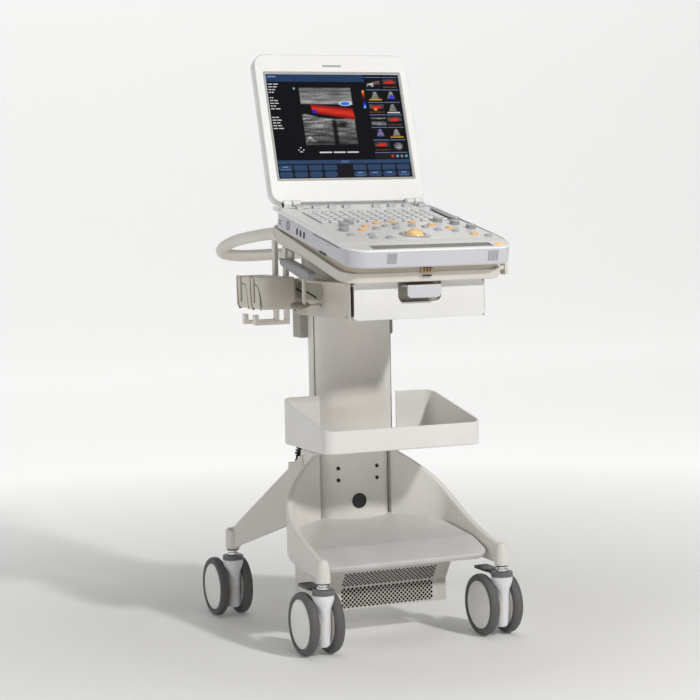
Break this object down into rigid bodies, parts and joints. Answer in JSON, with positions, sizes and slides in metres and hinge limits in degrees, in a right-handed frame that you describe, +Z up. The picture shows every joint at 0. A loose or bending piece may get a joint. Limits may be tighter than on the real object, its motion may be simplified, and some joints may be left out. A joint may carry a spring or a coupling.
{
  "type": "mobile ultrasound machine",
  "caption": "Portable ultrasound console with a folding display, docked on a height-adjustable cart with tray, drawer, probe holder and swivel casters.",
  "frame": {"origin": "bottom centre of the bounding box, on the floor", "axes": "+Z up, -Y towards the operator, +X to the operator's right"},
  "size_m": [0.504, 0.671, 1.1922],
  "materials": {
    "cream_paint": "satin",
    "cream_plastic": "satin",
    "lilac_plastic": "satin",
    "cream_tube": "satin",
    "grille_steel": "satin",
    "grey_plastic": "matt",
    "dark_plastic": "matt",
    "bronze_latch": "satin",
    "chrome_steel": "polished",
    "steel": "brushed",
    "silver_keys": "satin",
    "amber": "gloss",
    "green_board": "satin",
    "display_glass": "gloss",
    "white_plastic": "satin",
    "cap_plastic": "satin",
    "tyre_rubber": "matt"
  },
  "bodies": {
    "base": {"base_hub": "cream_paint", "front_wings": "cream_paint", "rear_arms": "cream_paint", "shelf_plate": "lilac_plastic", "power_case": "cream_paint", "power_grille": "grille_steel", "transformer": "steel", "mains_inlet": "dark_plastic", "lower_column": "cream_paint", "column_fittings": "dark_plastic", "gas_spring_cylinder": "steel", "cable_fitting": "cream_plastic", "caster_stems": "chrome_steel", "lift_cable": "dark_plastic"},
    "lift": {"sleeve": "cream_paint", "basket_tray": "cream_plastic", "glide_pads": "dark_plastic", "gas_spring_rod": "chrome_steel", "drawer_housing": "cream_plastic", "dock_tray": "cream_plastic", "push_handle": "cream_tube", "probe_holder": "cream_plastic", "cable_hooks": "cream_tube", "side_fittings": "cream_plastic", "rear_box": "grey_plastic", "console_case": "cream_plastic", "console_deck": "cream_plastic", "main_board": "green_board", "hinge_pins": "chrome_steel", "rotary_knobs": "silver_keys"},
    "drawer": {"drawer": "cream_plastic", "drawer_pull": "lilac_plastic"},
    "release_paddle": {"release_paddle": "lilac_plastic"},
    "dock_latch": {"dock_latch": "bronze_latch"},
    "letter_keys": {"letter_keys": "lilac_plastic"},
    "round_keys": {"round_keys": "amber"},
    "soft_keys": {"soft_keys": "silver_keys"},
    "gain_sliders": {"gain_sliders": "dark_plastic"},
    "trackball": {"trackball": "amber"},
    "lid": {"lid_bezel": "cream_plastic", "lid_cover": "cream_plastic", "display_panel": "display_glass"},
    "front_left_caster": {"front_left_fork": "white_plastic", "front_left_axle": "chrome_steel"},
    "front_left_wheels": {"front_left_wheels": "cap_plastic", "front_left_tyres": "tyre_rubber"},
    "front_left_brake_pedal": {"front_left_brake_pedal": "dark_plastic"},
    "front_right_caster": {"front_right_fork": "white_plastic", "front_right_axle": "chrome_steel"},
    "front_right_wheels": {"front_right_wheels": "cap_plastic", "front_right_tyres": "tyre_rubber"},
    "front_right_brake_pedal": {"front_right_brake_pedal": "dark_plastic"},
    "rear_left_caster": {"rear_left_fork": "white_plastic", "rear_left_axle": "chrome_steel"},
    "rear_left_wheels": {"rear_left_wheels": "cap_plastic", "rear_left_tyres": "tyre_rubber"},
    "rear_right_caster": {"rear_right_fork": "white_plastic", "rear_right_axle": "chrome_steel"},
    "rear_right_wheels": {"rear_right_wheels": "cap_plastic", "rear_right_tyres": "tyre_rubber"}
  },
  "joints": [
    {"name": "front_left_swivel", "type": "hinge", "parent": "base", "child": "front_left_caster", "pos_m": [-0.196, -0.215, 0.1347], "axis": [0, 0, 1], "continuous": true},
    {"name": "front_left_wheel_spin", "type": "hinge", "parent": "front_left_caster", "child": "front_left_wheels", "pos_m": [-0.196, -0.178, 0.0625], "axis": [1, 0, 0], "continuous": true},
    {"name": "front_left_brake_hinge", "type": "hinge", "parent": "front_left_caster", "child": "front_left_brake_pedal", "pos_m": [-0.196, -0.187, 0.128], "axis": [1, 0, 0], "range_deg": [-5, 0]},
    {"name": "front_right_swivel", "type": "hinge", "parent": "base", "child": "front_right_caster", "pos_m": [0.196, -0.215, 0.1347], "axis": [0, 0, 1], "continuous": true},
    {"name": "front_right_wheel_spin", "type": "hinge", "parent": "front_right_caster", "child": "front_right_wheels", "pos_m": [0.196, -0.178, 0.0625], "axis": [1, 0, 0], "continuous": true},
    {"name": "front_right_brake_hinge", "type": "hinge", "parent": "front_right_caster", "child": "front_right_brake_pedal", "pos_m": [0.196, -0.187, 0.128], "axis": [1, 0, 0], "range_deg": [-5, 0]},
    {"name": "rear_left_swivel", "type": "hinge", "parent": "base", "child": "rear_left_caster", "pos_m": [-0.214, 0.236, 0.1347], "axis": [0, 0, 1], "continuous": true},
    {"name": "rear_left_wheel_spin", "type": "hinge", "parent": "rear_left_caster", "child": "rear_left_wheels", "pos_m": [-0.214, 0.273, 0.0625], "axis": [1, 0, 0], "continuous": true},
    {"name": "rear_right_swivel", "type": "hinge", "parent": "base", "child": "rear_right_caster", "pos_m": [0.214, 0.236, 0.1347], "axis": [0, 0, 1], "continuous": true},
    {"name": "rear_right_wheel_spin", "type": "hinge", "parent": "rear_right_caster", "child": "rear_right_wheels", "pos_m": [0.214, 0.273, 0.0625], "axis": [1, 0, 0], "continuous": true},
    {"name": "height_lift", "type": "slide", "parent": "base", "child": "lift", "axis": [0, 0, 1], "range_m": [0, 0.18], "deforming": ["lift_cable"]},
    {"name": "drawer_slide", "type": "slide", "parent": "lift", "child": "drawer", "axis": [0, -1, 0], "range_m": [0, 0.23]},
    {"name": "lid_hinge", "type": "hinge", "parent": "lift", "child": "lid", "pos_m": [0, 0.04823, 0.88127], "axis": [1, 0, 0], "range_deg": [-13, 118]},
    {"name": "release_paddle_hinge", "type": "hinge", "parent": "lift", "child": "release_paddle", "pos_m": [-0.178, -0.007, 0.768], "axis": [1, 0, 0], "range_deg": [-8, 0], "stiffness_Nm_per_rad": 0.6, "springref_deg": 8.59},
    {"name": "dock_latch_slide", "type": "slide", "parent": "lift", "child": "dock_latch", "axis": [0, -0.9796, -0.2011], "range_m": [0, 0.004]},
    {"name": "letter_keys_press", "type": "slide", "parent": "lift", "child": "letter_keys", "axis": [0, 0.2011, -0.9796], "range_m": [0, 0.0018], "stiffness_N_per_m": 2000, "springref_m": -0.002},
    {"name": "round_keys_press", "type": "slide", "parent": "lift", "child": "round_keys", "axis": [0, 0.2011, -0.9796], "range_m": [0, 0.002], "stiffness_N_per_m": 2000, "springref_m": -0.002},
    {"name": "soft_keys_rock", "type": "hinge", "parent": "lift", "child": "soft_keys", "pos_m": [0, 0.03318, 0.87002], "axis": [1, 0, 0], "range_deg": [-12, 12], "stiffness_Nm_per_rad": 0.5},
    {"name": "gain_sliders_slide", "type": "slide", "parent": "lift", "child": "gain_sliders", "axis": [1, 0, 0], "range_m": [-0.005, 0.005]},
    {"name": "trackball_spin", "type": "hinge", "parent": "lift", "child": "trackball", "pos_m": [0.004, -0.23442, 0.811], "axis": [1, 0, 0], "continuous": true}
  ],
  "couplings": [
    {"joint": "dock_latch_slide", "follows": "release_paddle_hinge", "m_per_rad": -0.028648}
  ]
}
